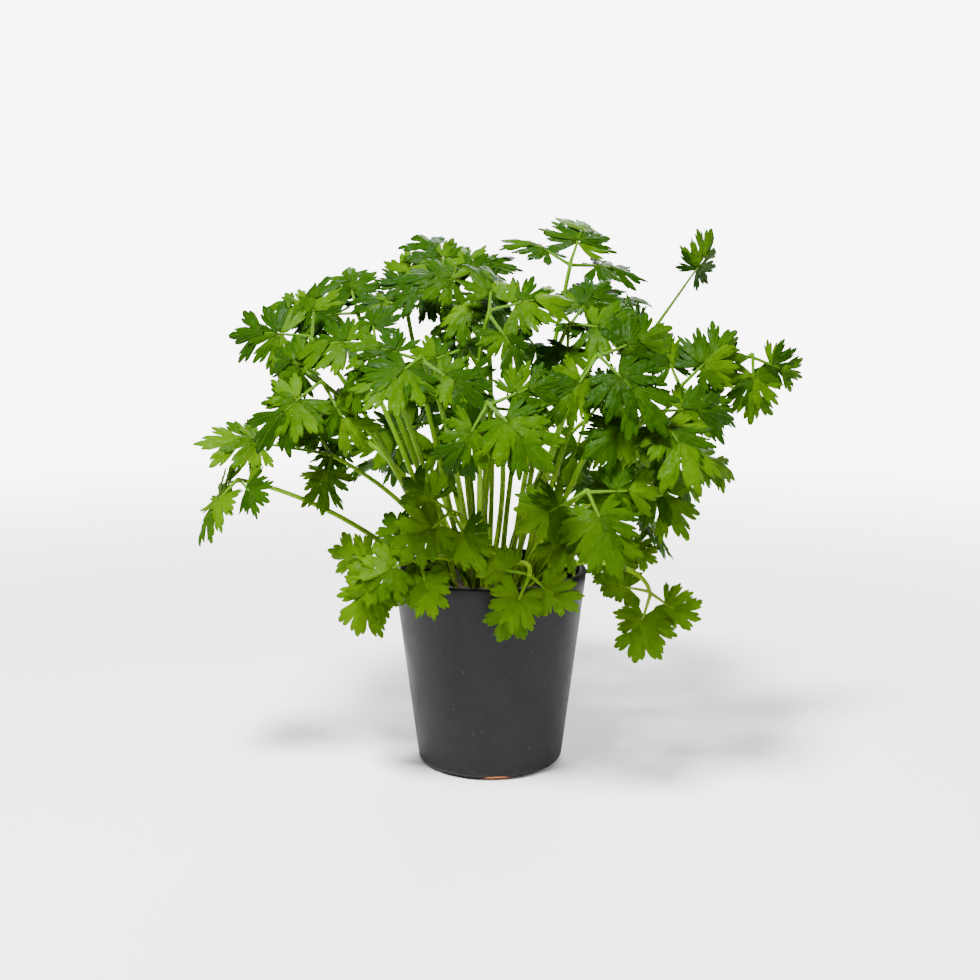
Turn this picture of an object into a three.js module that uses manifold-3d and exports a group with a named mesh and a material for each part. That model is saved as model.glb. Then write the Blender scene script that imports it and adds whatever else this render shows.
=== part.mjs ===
// Potted parsley: a dark clay pot, the soil in it, and the leaf fronds that rise out of the soil.
// Millimetres and degrees, +Z up. The origin is the middle of the pot's base, on the surface that
// it stands on. The front of the plant looks along -Y and its right side along +X.

import * as THREE from "three";
import { mergeVertices } from "three/addons/utils/BufferGeometryUtils.js";
import Module from "manifold-3d";

const wasm = await Module();
wasm.setup();

// The pot
const RIM_RADIUS = 60;
const BASE_RADIUS = 45.6;
const POT_HEIGHT = 122;
const WALL = 4.5;
const FLOOR = 8;
const FOOT_ROUND = 5;
const LIP_ROUND = 1.2;
const ROUND_SIDES = 28;

// The soil. Its crown begins at a share of its radius and stands at a share of its height there.
const SOIL_TOP = 110;
const SOIL_CROWN = 3;
const CROWN_PLACE = [0.55, 0.7];
const FIT_GAP = 0.3;
const HOLE_DEPTH = 9;

// The leaf stalks. CLIMB is how far a stalk leans upwards as it leaves the soil, LEAVE and ARRIVE how
// far its first and last bends reach as shares of its length, STRAIGHT_LOST and LEAF_LED how far its
// end follows the leaf. The second number of a pair is what a hanging stalk adds.
const STALK_SIDES = 3;
const STALK_FOOT_RADIUS = 1.9;
const STALK_HUB_RADIUS = 1.3;
const STALK_STEPS = 3;
const HANGING_STALK_STEPS = 5;
const HANG_BELOW = 190;
const HANG_OVER = 60;
const HANG_STEPPED = 0.5;
const CLIMB = [0.45, 0.9];
const LEAVE = [0.3, 0.12];
const ARRIVE = 0.3;
const STRAIGHT_LOST = 0.75;
const LEAF_LED = [0.35, 0.4];
const FOOT_RING = 41;
const FOOT_CROWDING = 0.65;
const WIDEST_HUB = 190;
const FOOT_SCATTER = 3;
const FOOT_SPACING = 5.4;

// The leaf blades, with lengths and places across a leaf as shares of its length
const BLADE = 0.7;
const FOLD = 0.22;
const TIP_DROOP = 0.75;
const SIDE_TURN = 76;
const SIDE_TURN_SCATTER = 8;
const SIDE_ROLL = 22;
const SIDE_LENGTH = 0.8;
const SIDE_STALK = 0.5;
const END_STALK = 0.42;
const LEAF_STALK_WIDTH = 1.4;
const SIDE_ROOT = 2.4;
const END_ROOT = 0.5;
const OUTLINE_SCATTER = 0.035;
// One half of a leaf from its stalk to its tip: [along, across]. Three leaflets are cut to the rib.
const END_HALF = [
  [0.0, 0.42], [0.34, 0.64], [0.52, 0.43], [0.19, 0.045],
  [0.62, 0.37], [0.71, 0.25], [0.92, 0.2],
];
const SIDE_HALF = [
  [0.02, 0.45], [0.42, 0.54], [0.19, 0.045], [0.64, 0.38], [0.77, 0.24],
];
const FORK = 0.19;

// How far a frond may be bent from its place to stay clear of the ones before it: its hub, foot and
// stalk in millimetres, its leaf's turn and rise in degrees. CLEAR is the room kept round it, and
// corners nearer than WELD are made one.
const BEND_TRIES = 300;
const BEND_FULL_AT = 16;
const BEND_LIMIT = 1.6;
const BEND_SHIFT = 9;
const BEND_FOOT = 4;
const BEND_BOW = 12;
const BEND_TURN = 18;
const BEND_RISE = 10;
const CLEAR = 0.25;
const WELD = 0.02;

// The fronds that give the plant its outline from the front. Each row holds the hub where the
// stalk forks (x, y, z), the way the end leaf points (turn in plan, rise), the way the upper side
// faces (turn, rise), the end leaf's length, and how far past the hub that leaf begins.
const FRONT_FRONDS = [
  [-150, -30, 182, 205, -45, -150, 30, 34, 0],
  [-100, -4, 188, 182, 8, -90, 45, 36, 30],
  [-108, -8, 266, 170, 4, -95, 25, 42, 0],
  [-104, 48, 278, 160, 12, -120, 50, 36, 0],
  [-84, 34, 280, 110, 46, -95, 25, 34, 0],
  [-52, 20, 284, 95, 58, -90, 20, 32, 0],
  [-12, 16, 294, 130, 34, -95, 30, 40, 0],
  [50, 24, 310, 70, 40, -85, 30, 42, 0],
  [72, 48, 284, 110, 25, -80, 50, 36, 0],
  [66, -20, 268, 60, 40, -95, 35, 28, 0],
  [98, 24, 262, 20, 52, -40, 10, 30, 42],
  [160, 4, 254, -90, -72, -85, 10, 33, 0],
  [116, -16, 240, 20, 40, -85, 30, 36, 0],
  [104, -10, 204, 0, -8, -80, 35, 36, 0],
  [84, -48, 192, -30, -42, -80, 30, 36, 0],
  [54, -82, 184, -60, -48, -85, 20, 38, 0],
  [96, -32, 112, -160, -72, -120, 5, 32, 0],
  [22, -70, 132, -150, -62, -90, 10, 30, 0],
  [-64, -42, 130, -130, -55, -100, 10, 34, 0],
  [-42, -62, 140, 200, -15, -95, 30, 32, 0],
  [-96, -46, 242, 205, -35, -95, 35, 40, 0],
  [-108, 14, 222, 178, -6, -100, 40, 36, 0],
  [60, -66, 258, -40, -35, -85, 25, 42, 0],
  [86, -56, 228, -45, -30, -80, 30, 44, 0],
  [-62, -46, 258, 186, -12, -95, 45, 38, 0],
  [0, -56, 282, 10, 14, -90, 40, 38, 0],
  [-8, -24, 296, 185, 12, -90, 50, 36, 0],
  [72, 30, 122, -90, -60, -80, 10, 27, 0],
  [-38, -80, 258, -120, -20, -90, 40, 38, 0],
  [-6, -88, 238, -60, -40, -90, 40, 38, 0],
  [-28, -52, 180, 200, -25, -90, 45, 32, 0],
  [36, -62, 176, -110, -35, -90, 35, 32, 0],
  [-26, -36, 266, 200, -20, -90, 40, 40, 0],
  [48, -30, 270, -20, -10, -85, 40, 38, 0],
  [10, 34, 226, -60, -25, -85, 25, 40, 0],
  [50, 36, 216, -30, -20, -80, 25, 40, 0],
  [-32, 40, 214, -150, -20, -95, 25, 40, 0],
];

// The fronds that fill the sides and the back, spread by the golden angle
const BACK_COUNT = 10;
const GOLDEN_TURN = 137.508;
const BACK_TURN = [24, 150];
const BACK_RADIUS = [62, 150];
const BACK_HEIGHT = [150, 272];
const BACK_LEAF = [36, 42];
const BACK_CROWN_FROM = 240;
const BACK_CROWN_RADIUS = 0.85;
const BACK_AIM = 40;
const BACK_RISE = [-15, 15];
const BACK_FACE_RISE = 35;

// Steps between the seeds of the small random differences
const SEED = { frond: 7.31, attempt: 1.93, value: 0.61, point: 0.37, along: 50, half: 100, side: 200 };
const SIDE_SEED = 2.3;
const BACK_SEED = 1.7;

const COLOURS = { pot: 0x3d3d3e, soil: 0x2a1d14, leafDark: 0x35690d, leafBright: 0x79b414 };
const DARK_ABOVE = 200;

// A number from 0 to 1 that looks random and is the same each time for one seed
function draw(seed) {
  const s = Math.sin(seed * 12.9898) * 43758.5453;
  return s - Math.floor(s);
}

// The same, from -1 to 1
const swing = (seed) => 2 * draw(seed) - 1;

// A unit vector from a turn in plan (0 along +X, 90 along +Y) and a rise above the horizon
function heading(turn, rise) {
  const a = THREE.MathUtils.degToRad(turn);
  const b = THREE.MathUtils.degToRad(rise);
  return new THREE.Vector3(Math.cos(b) * Math.cos(a), Math.cos(b) * Math.sin(a), Math.sin(b));
}

// A closed solid from a flat list of coordinates and a flat list of triangle corners
function solidFrom(coordinates, triangles) {
  const vertProperties = new Float32Array(coordinates);
  const triVerts = new Uint32Array(triangles);
  return new wasm.Manifold(new wasm.Mesh({ numProp: 3, vertProperties, triVerts }));
}

// A closed solid from a three.js geometry
function solidFromGeometry(geometry) {
  const bare = geometry.clone();
  bare.deleteAttribute("normal");
  bare.deleteAttribute("uv");
  const merged = mergeVertices(bare, 1e-3);
  return solidFrom(merged.attributes.position.array, merged.index.array);
}

// A three.js geometry from a closed solid
function geometryFrom(solid) {
  const { vertProperties, triVerts } = solid.getMesh();
  const geometry = new THREE.BufferGeometry();
  geometry.setAttribute("position", new THREE.BufferAttribute(new Float32Array(vertProperties), 3));
  geometry.setIndex(new THREE.BufferAttribute(new Uint32Array(triVerts), 1));
  return geometry;
}

// Whether a solid has one closed skin that touches itself nowhere, with nothing hollow sealed in it:
// with near corners made one, every edge then has one face on each side
function hasOneSkin(solid) {
  const merged = solidFromGeometry(geometryFrom(solid));
  const { vertProperties, triVerts } = merged.getMesh();
  const places = Array.from(triVerts, (corner) => {
    const start = corner * 3;
    return Array.from(vertProperties.slice(start, start + 3), (value) => value.toFixed(4)).join(" ");
  });
  const edges = new Map();
  for (let i = 0; i < places.length; i += 3) {
    const face = places.slice(i, i + 3);
    if (new Set(face).size < 3) continue;
    face.forEach((place, k) => {
      const next = face[(k + 1) % 3];
      const [edge, hand] = place < next ? [`${place} ${next}`, 1] : [`${next} ${place}`, -1];
      edges.set(edge, [...(edges.get(edge) ?? []), hand]);
    });
  }
  const single = [...edges.values()].every((hands) => hands.length === 2 && hands[0] + hands[1] === 0);
  return single && merged.decompose().length === 1;
}

// A named mesh from a closed solid
function meshFrom(name, solid, material) {
  const geometry = geometryFrom(solid);
  geometry.computeVertexNormals();
  const mesh = new THREE.Mesh(geometry, material);
  mesh.name = name;
  return mesh;
}

// A solid of revolution about Z from a profile of [radius, height] points, bottom to top
function turned(profile) {
  const points = profile.map(([r, z]) => new THREE.Vector2(r, z));
  return new THREE.LatheGeometry(points, ROUND_SIDES).rotateX(Math.PI / 2);
}

// The inner radius of the pot at a height
function innerRadius(z) {
  return BASE_RADIUS - WALL + ((RIM_RADIUS - BASE_RADIUS) * z) / POT_HEIGHT;
}

// The pot: a straight taper with a rounded foot, an open top and a plain, softly rounded lip
function potSolid() {
  const foot = [0, 30, 60, 90].map((deg) => {
    const a = THREE.MathUtils.degToRad(deg);
    return [BASE_RADIUS - FOOT_ROUND * (1 - Math.sin(a)), FOOT_ROUND * (1 - Math.cos(a))];
  });
  const inner = RIM_RADIUS - WALL;
  const profile = [
    [0, 0],
    ...foot,
    [RIM_RADIUS, POT_HEIGHT - LIP_ROUND],
    [RIM_RADIUS - LIP_ROUND, POT_HEIGHT],
    [inner + LIP_ROUND, POT_HEIGHT],
    [inner, POT_HEIGHT - LIP_ROUND],
    [innerRadius(FLOOR), FLOOR],
    [0, FLOOR],
  ];
  return solidFromGeometry(turned(profile));
}

// The soil: it fills the pot to a little below the lip, with a low crown in the middle
function soilSolid() {
  const bottom = FLOOR + FIT_GAP;
  const profile = [
    [0, bottom],
    [innerRadius(bottom) - FIT_GAP, bottom],
    [innerRadius(SOIL_TOP) - FIT_GAP, SOIL_TOP],
    [innerRadius(SOIL_TOP) * CROWN_PLACE[0], SOIL_TOP + CROWN_PLACE[1] * SOIL_CROWN],
    [0, SOIL_TOP + SOIL_CROWN],
  ];
  return solidFromGeometry(turned(profile));
}

// A closed tube with flat sides through points, with a radius at each point
function tube(points, radii) {
  const coordinates = [];
  const triangles = [];
  let side = new THREE.Vector3(1, 0, 0);
  points.forEach((point, i) => {
    const before = points[Math.max(i - 1, 0)];
    const after = points[Math.min(i + 1, points.length - 1)];
    const along = after.clone().sub(before).normalize();
    side = side.clone().addScaledVector(along, -side.dot(along)).normalize();
    const other = along.clone().cross(side);
    for (let k = 0; k < STALK_SIDES; k += 1) {
      const a = (2 * Math.PI * k) / STALK_SIDES;
      const corner = point.clone();
      corner.addScaledVector(side, radii[i] * Math.cos(a)).addScaledVector(other, radii[i] * Math.sin(a));
      coordinates.push(...corner);
    }
  });
  const n = STALK_SIDES;
  for (let i = 0; i < points.length - 1; i += 1) {
    for (let k = 0; k < n; k += 1) {
      const a = i * n + k;
      const b = i * n + ((k + 1) % n);
      triangles.push(a, b, b + n, a, b + n, a + n);
    }
  }
  const last = (points.length - 1) * n;
  for (let k = 1; k < n - 1; k += 1) {
    triangles.push(0, k + 1, k, last, last + k, last + k + 1);
  }
  return solidFrom(coordinates, triangles);
}

// The place and directions of a frond or leaf: where it starts, the way it points, its side and
// the way its upper face looks
function leafFrame(start, points, faces) {
  const along = points.clone().normalize();
  const up = faces.clone().addScaledVector(along, -faces.dot(along)).normalize();
  return { start, along, up, side: up.clone().cross(along) };
}

// A point of a leaf. Past its base the midrib bends steadily down, and both halves fold down from it.
function leafPoint(frame, length, u, v, lift) {
  const bend = TIP_DROOP * Math.max(u, 0);
  const forward = u > 0 ? (Math.sin(bend) / TIP_DROOP) * length : u * length;
  const down = ((1 - Math.cos(bend)) / TIP_DROOP) * length;
  const rise = lift - FOLD * Math.abs(v) * length;
  return frame.start.clone()
    .addScaledVector(frame.along, forward + rise * Math.sin(bend))
    .addScaledVector(frame.up, rise * Math.cos(bend) - down)
    .addScaledVector(frame.side, v * length);
}

// One half outline, with each point moved a little so that no two leaves are alike
function scattered(half, seed) {
  return half.map(([u, v], i) => {
    const here = seed + SEED.point * i;
    return [u + OUTLINE_SCATTER * swing(here + SEED.along), v * (1 + 2 * OUTLINE_SCATTER * swing(here))];
  });
}

// A leaf blade: a thin solid folded along its rib, its three leaflets cut in to the rib
function bladeSolid(frame, length, half, stalk, thickness, seed) {
  const edge = LEAF_STALK_WIDTH / 2 / length;
  const foot = [[-stalk, edge], [0, edge]];
  const right = [...foot, ...scattered(half, seed)].map(([u, v]) => [u, -v]);
  const left = [...foot, ...scattered(half, seed + SEED.half)].reverse();
  const plan = [...right, [1, 0], ...left];
  const rim = plan.length;
  const tip = right.length;
  plan.push([FORK, 0]);
  const halves = [
    [...Array(tip + 1).keys(), rim],
    [rim, ...Array.from({ length: rim - tip }, (_, i) => tip + i)],
    [rim - 1, 0, rim],
  ];
  const count = plan.length;
  const coordinates = [];
  for (const lift of [thickness / 2, -thickness / 2]) {
    for (const [u, v] of plan) {
      coordinates.push(...leafPoint(frame, length, u, v, lift));
    }
  }
  const triangles = [];
  for (const corners of halves) {
    const contour = corners.map((i) => new THREE.Vector2(...plan[i]));
    for (const face of THREE.ShapeUtils.triangulateShape(contour, [])) {
      const [a, b, c] = face.map((i) => corners[i]);
      triangles.push(a, b, c, count + a, count + c, count + b);
    }
  }
  for (let i = 0; i < rim; i += 1) {
    const j = (i + 1) % rim;
    triangles.push(i, count + i, count + j, i, count + j, j);
  }
  return solidFrom(coordinates, triangles);
}

// Where a frond's stalk leaves the soil: nearer the edge the further out its hub is
function footUnder(hub) {
  const reach = Math.hypot(hub.x, hub.y);
  const ring = FOOT_RING * Math.pow(Math.min(reach / WIDEST_HUB, 1), FOOT_CROWDING);
  return new THREE.Vector3((hub.x / reach) * ring, (hub.y / reach) * ring, SOIL_TOP + SOIL_CROWN);
}

// A frond from its row. The first attempt leaves it in its place, and each later one bends it
// further, up to a limit.
function frondFrom(row, index, attempt) {
  const share = Math.min(attempt / BEND_FULL_AT, BEND_LIMIT);
  const stray = (k) => swing(index * SEED.frond + attempt * SEED.attempt + k * SEED.value);
  const [x, y, z, turn, rise, faceTurn, faceRise, size, reach] = row;
  const shift = new THREE.Vector3(stray(0), stray(1), stray(2)).multiplyScalar(BEND_SHIFT * share);
  const hub = new THREE.Vector3(x, y, z).add(shift);
  const scatter = FOOT_SCATTER + BEND_FOOT * share;
  return {
    hub,
    foot: footUnder(hub).add(new THREE.Vector3(scatter * stray(7), scatter * stray(8), 0)),
    bow: new THREE.Vector3(stray(9), stray(10), 0).multiplyScalar(BEND_BOW * share),
    along: heading(turn + BEND_TURN * share * stray(3), rise + BEND_RISE * share * stray(4)),
    faces: heading(faceTurn + BEND_TURN * share * stray(5), faceRise + BEND_RISE * share * stray(6)),
    size,
    reach,
    index,
  };
}

// The line of a stalk from its hole in the soil to its hub. A low hub's stalk climbs steeply,
// clears the pot's lip and hangs; a high hub's stalk is nearly straight.
function stalkLine({ foot, hub, along, bow }) {
  const straight = hub.clone().sub(foot);
  const length = straight.length();
  straight.normalize();
  const hang = THREE.MathUtils.smoothstep(HANG_BELOW - hub.z, 0, HANG_OVER);
  const leave = straight.clone().add(new THREE.Vector3(0, 0, CLIMB[0] + CLIMB[1] * hang)).normalize();
  const arrive = straight.clone().multiplyScalar(1 - STRAIGHT_LOST * hang);
  arrive.addScaledVector(along, LEAF_LED[0] + LEAF_LED[1] * hang).normalize();
  const curve = new THREE.CubicBezierCurve3(
    foot,
    foot.clone().addScaledVector(leave, length * (LEAVE[0] + LEAVE[1] * hang)).add(bow),
    hub.clone().addScaledVector(arrive, -ARRIVE * length).add(bow),
    hub,
  );
  const deep = foot.clone().setZ(SOIL_TOP - HOLE_DEPTH + FIT_GAP);
  return [deep, ...curve.getPoints(hang > HANG_STEPPED ? HANGING_STALK_STEPS : STALK_STEPS)];
}

// A frond: a stalk that ends in one leaf, with a leaf on a short stalk at each side of its hub.
// extra thickens everything, to ask for room.
function frondSolid(frond, extra) {
  const { hub, index, size } = frond;
  const line = stalkLine(frond);
  const radii = line.map((_, i) => {
    const share = i / (line.length - 1);
    return extra + STALK_FOOT_RADIUS + (STALK_HUB_RADIUS - STALK_FOOT_RADIUS) * share;
  });
  const thickness = BLADE + 2 * extra;
  const main = leafFrame(hub, frond.along, frond.faces);
  const stalk = END_STALK + frond.reach / size;
  const end = { ...main, start: hub.clone().addScaledVector(main.along, stalk * size - END_ROOT) };
  let solid = tube(line, radii).add(bladeSolid(end, size, END_HALF, stalk, thickness, index));
  const arrives = hub.clone().sub(line[line.length - 2]).normalize();
  const fork = hub.clone().addScaledVector(arrives, -SIDE_ROOT);
  const length = SIDE_LENGTH * size;
  for (const hand of [-1, 1]) {
    const swerve = SIDE_TURN + SIDE_TURN_SCATTER * swing(index * SIDE_SEED + hand);
    const points = main.along.clone().applyAxisAngle(main.up, THREE.MathUtils.degToRad(hand * swerve));
    const faces = main.up.clone().applyAxisAngle(points, THREE.MathUtils.degToRad(hand * SIDE_ROLL));
    const start = fork.clone().addScaledVector(points, SIDE_STALK * length);
    const seed = index + SEED.side * (hand + 2);
    const side = leafFrame(start, points, faces);
    solid = solid.add(bladeSolid(side, length, SIDE_HALF, SIDE_STALK, thickness, seed));
  }
  return solid.simplify(WELD);
}

// The fronds at the back and the sides: hubs on a golden-angle spiral, leaves hanging outwards
function backRows() {
  const mix = ([low, high], share) => low + (high - low) * share;
  return Array.from({ length: BACK_COUNT }, (_, k) => {
    const pick = (value) => draw(k * BACK_SEED + value);
    const turn = mix(BACK_TURN, ((k * GOLDEN_TURN) % 360) / 360);
    const height = mix(BACK_HEIGHT, (k + 0.5) / BACK_COUNT);
    const radius = mix(BACK_RADIUS, pick(4)) * (height > BACK_CROWN_FROM ? BACK_CROWN_RADIUS : 1);
    const at = heading(turn, 0).multiplyScalar(radius);
    const aim = turn + BACK_AIM * (2 * pick(1) - 1);
    const rise = mix(BACK_RISE, pick(2));
    return [at.x, at.y, height, aim, rise, turn, BACK_FACE_RISE, mix(BACK_LEAF, pick(3)), 0];
  });
}

// Two boxes that meet
function boxesMeet(a, b) {
  return [0, 1, 2].every((k) => a.min[k] <= b.max[k] && b.min[k] <= a.max[k]);
}

// Every frond in turn, each bent until it has one closed skin, and is clear of the pot and of the
// ones before it
function clearFronds(pot) {
  const taken = [{ solid: pot, box: pot.boundingBox() }];
  const isClear = (frond, others) => {
    const roomy = frondSolid(frond, CLEAR);
    const box = roomy.boundingBox();
    return hasOneSkin(frondSolid(frond, 0))
      && others.every(({ foot }) => foot.distanceTo(frond.foot) >= FOOT_SPACING)
      && taken.every((other) => !boxesMeet(box, other.box) || other.solid.intersect(roomy).isEmpty());
  };
  const fronds = [];
  [...FRONT_FRONDS, ...backRows()].forEach((row, index) => {
    const attempts = [...Array(BEND_TRIES).keys()];
    const attempt = attempts.find((i) => isClear(frondFrom(row, index, i), fronds));
    if (attempt === undefined) throw new Error(`frond ${index + 1} finds no clear place`);
    const frond = frondFrom(row, index, attempt);
    const solid = frondSolid(frond, 0);
    taken.push({ solid, box: solid.boundingBox() });
    fronds.push({ ...frond, solid });
  });
  return fronds;
}

// The soil with a plain hole round the foot of each stalk
function drilledSoil(fronds) {
  const radius = STALK_FOOT_RADIUS + 2 * FIT_GAP;
  return fronds.reduce((soil, { foot }) => {
    const low = foot.clone().setZ(SOIL_TOP - HOLE_DEPTH);
    const high = foot.clone().setZ(SOIL_TOP + 2 * SOIL_CROWN);
    return soil.subtract(tube([low, high], [radius, radius]));
  }, soilSolid());
}

function pottedParsley() {
  const plant = new THREE.Group();
  const clay = new THREE.MeshStandardMaterial({ color: COLOURS.pot, roughness: 0.6, metalness: 0 });
  const earth = new THREE.MeshStandardMaterial({ color: COLOURS.soil, roughness: 1, metalness: 0 });
  const pot = potSolid();
  const fronds = clearFronds(pot);
  plant.add(meshFrom("pot", pot, clay));
  plant.add(meshFrom("soil", drilledSoil(fronds), earth));
  fronds.forEach(({ solid, hub }, index) => {
    const share = THREE.MathUtils.clamp((hub.z - SOIL_TOP) / DARK_ABOVE, 0, 1);
    const color = new THREE.Color(COLOURS.leafBright).lerp(new THREE.Color(COLOURS.leafDark), share);
    const leaf = new THREE.MeshStandardMaterial({ color, roughness: 0.5, metalness: 0 });
    plant.add(meshFrom(`frond_${String(index + 1).padStart(2, "0")}`, solid, leaf));
  });
  return plant;
}

export default pottedParsley();
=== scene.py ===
"""Potted parsley dressed for a picture: a coated clay pot, crumbly soil, and fine-cut leaf fronds.

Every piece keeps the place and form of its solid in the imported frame. The fronds follow the same
growing rule as the solids: named values, one row for each frond at the front, and a golden-angle
spiral at the back. Sizes are in millimetres and angles in degrees until a mesh is made. The
finishes, the lamps and the camera measure in metres.
"""

import logging
import math
from dataclasses import dataclass, field
from enum import Enum, IntEnum
from typing import Any

import bpy
import numpy as np
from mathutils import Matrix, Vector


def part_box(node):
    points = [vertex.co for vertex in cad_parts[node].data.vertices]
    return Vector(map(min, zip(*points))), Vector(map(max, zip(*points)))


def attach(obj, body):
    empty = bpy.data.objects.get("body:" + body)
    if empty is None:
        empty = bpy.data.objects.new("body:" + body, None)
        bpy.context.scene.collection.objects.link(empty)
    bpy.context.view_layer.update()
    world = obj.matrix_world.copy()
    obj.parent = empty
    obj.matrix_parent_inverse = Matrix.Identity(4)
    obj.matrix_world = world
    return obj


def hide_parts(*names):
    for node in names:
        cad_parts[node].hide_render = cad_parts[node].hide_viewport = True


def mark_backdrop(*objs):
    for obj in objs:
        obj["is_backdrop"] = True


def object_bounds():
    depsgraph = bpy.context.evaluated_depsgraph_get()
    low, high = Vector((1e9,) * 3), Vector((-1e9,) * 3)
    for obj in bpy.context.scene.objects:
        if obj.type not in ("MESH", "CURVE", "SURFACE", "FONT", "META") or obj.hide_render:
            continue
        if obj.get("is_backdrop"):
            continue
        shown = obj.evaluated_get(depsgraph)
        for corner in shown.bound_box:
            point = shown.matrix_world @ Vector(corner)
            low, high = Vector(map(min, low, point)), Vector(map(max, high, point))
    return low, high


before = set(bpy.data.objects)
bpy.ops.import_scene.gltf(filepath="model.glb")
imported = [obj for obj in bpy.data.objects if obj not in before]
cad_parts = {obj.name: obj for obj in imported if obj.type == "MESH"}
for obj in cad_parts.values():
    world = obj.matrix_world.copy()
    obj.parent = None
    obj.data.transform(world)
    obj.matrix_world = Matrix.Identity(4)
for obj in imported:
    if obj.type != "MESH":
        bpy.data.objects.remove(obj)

LOG = logging.getLogger("parsley")
MM = 0.001
DRAW_STEP, DRAW_SCALE = 12.9898, 43758.5453
Array = np.ndarray
Colour = tuple[float, float, float, float]
Pair = tuple[float, float]
Point = tuple[float, float, float]
Rise = tuple[float, float, float, float]
Row = tuple[float, ...]


def draw(seed: Array | float) -> Any:
    """Number from 0 to 1 that looks random: the fraction of sin(seed * DRAW_STEP) * DRAW_SCALE.

    Args:
        seed: One number or an array of them.

    Returns:
        A number or array of the same shape.
    """
    value = np.sin(np.asarray(seed, float) * DRAW_STEP) * DRAW_SCALE
    return value - np.floor(value)


def swing(seed: Array | float) -> Any:
    """The same number spread from -1 to 1."""
    return 2 * draw(seed) - 1


def unit(vector: Array) -> Array:
    """A vector of length 1 with the same direction."""
    return vector / np.linalg.norm(vector)


def smooth(value: Any, low: float, high: float) -> Any:
    """A rise from 0 to 1 between low and high: 3 s^2 - 2 s^3."""
    share = np.clip((value - low) / (high - low), 0, 1)
    return share * share * (3 - 2 * share)


def between(ends: Pair, share: float) -> float:
    """The value at a share of the way between two ends."""
    return float(np.interp(share, (0, 1), ends))


def heading(turn: float, rise: float) -> Array:
    """Unit vector from a turn in plan (0 along +X, 90 along +Y) and a rise above the horizon."""
    a, b = math.radians(turn), math.radians(rise)
    return np.array([math.cos(b) * math.cos(a), math.cos(b) * math.sin(a), math.sin(b)])


def turned_about(vector: Array, axis: Array, degrees: float) -> Array:
    """A vector turned about an axis: v cos a + (k x v) sin a + k (k . v)(1 - cos a).

    Args:
        vector: The vector v.
        axis: The unit axis k.
        degrees: The turn a.

    Returns:
        The turned vector.
    """
    a = math.radians(degrees)
    across = np.cross(axis, vector) * math.sin(a)
    return vector * math.cos(a) + across + axis * np.dot(axis, vector) * (1 - math.cos(a))


# Shader helpers


@dataclass(frozen=True)
class Value:
    """A number in a material: one socket, with sums written as Python expressions."""

    shader: "Shader"
    socket: Any

    def maths(self, operation: str, *others: Any) -> "Value":
        """This number through one Math node."""
        values = {i: other for i, other in enumerate((self, *others))}
        return self.shader.value("ShaderNodeMath", {"operation": operation}, values)

    def __add__(self, other: Any) -> "Value":
        """The sum."""
        return self.maths("ADD", other)

    def __sub__(self, other: Any) -> "Value":
        """The difference."""
        return self.maths("SUBTRACT", other)

    def __rsub__(self, other: Any) -> "Value":
        """A number less this one."""
        return self.maths("MULTIPLY", -1.0).maths("ADD", other)

    def __mul__(self, other: Any) -> "Value":
        """The product."""
        return self.maths("MULTIPLY", other)

    def __truediv__(self, other: Any) -> "Value":
        """The quotient."""
        return self.maths("DIVIDE", other)

    def __rtruediv__(self, other: Any) -> "Value":
        """A number divided by this one."""
        return self.maths("POWER", -1.0).maths("MULTIPLY", other)

    __radd__ = __add__
    __rmul__ = __mul__

    def __abs__(self) -> "Value":
        """The number without its sign."""
        return self.maths("ABSOLUTE")

    def fraction(self) -> "Value":
        """What is left above the whole number."""
        return self.maths("FRACT")

    def sine(self) -> "Value":
        """The sine of this number, in radians."""
        return self.maths("SINE")

    def rise(self, low: float, high: float, start: float = 0.0, end: float = 1.0) -> "Value":
        """A smooth change from start to end as this number goes from low to high."""
        values = {"Value": self, "From Min": low, "From Max": high, "To Min": start, "To Max": end}
        return self.shader.value("ShaderNodeMapRange", {"interpolation_type": "SMOOTHSTEP"}, values)


@dataclass(frozen=True)
class Patches:
    """Smooth random patches: their size in metres, their detail, and the rise that makes a share.

    The rise goes from its first number to its second, and from its third to its fourth if it has four.
    """

    size: float
    detail: float
    rise: Pair | Rise


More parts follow.
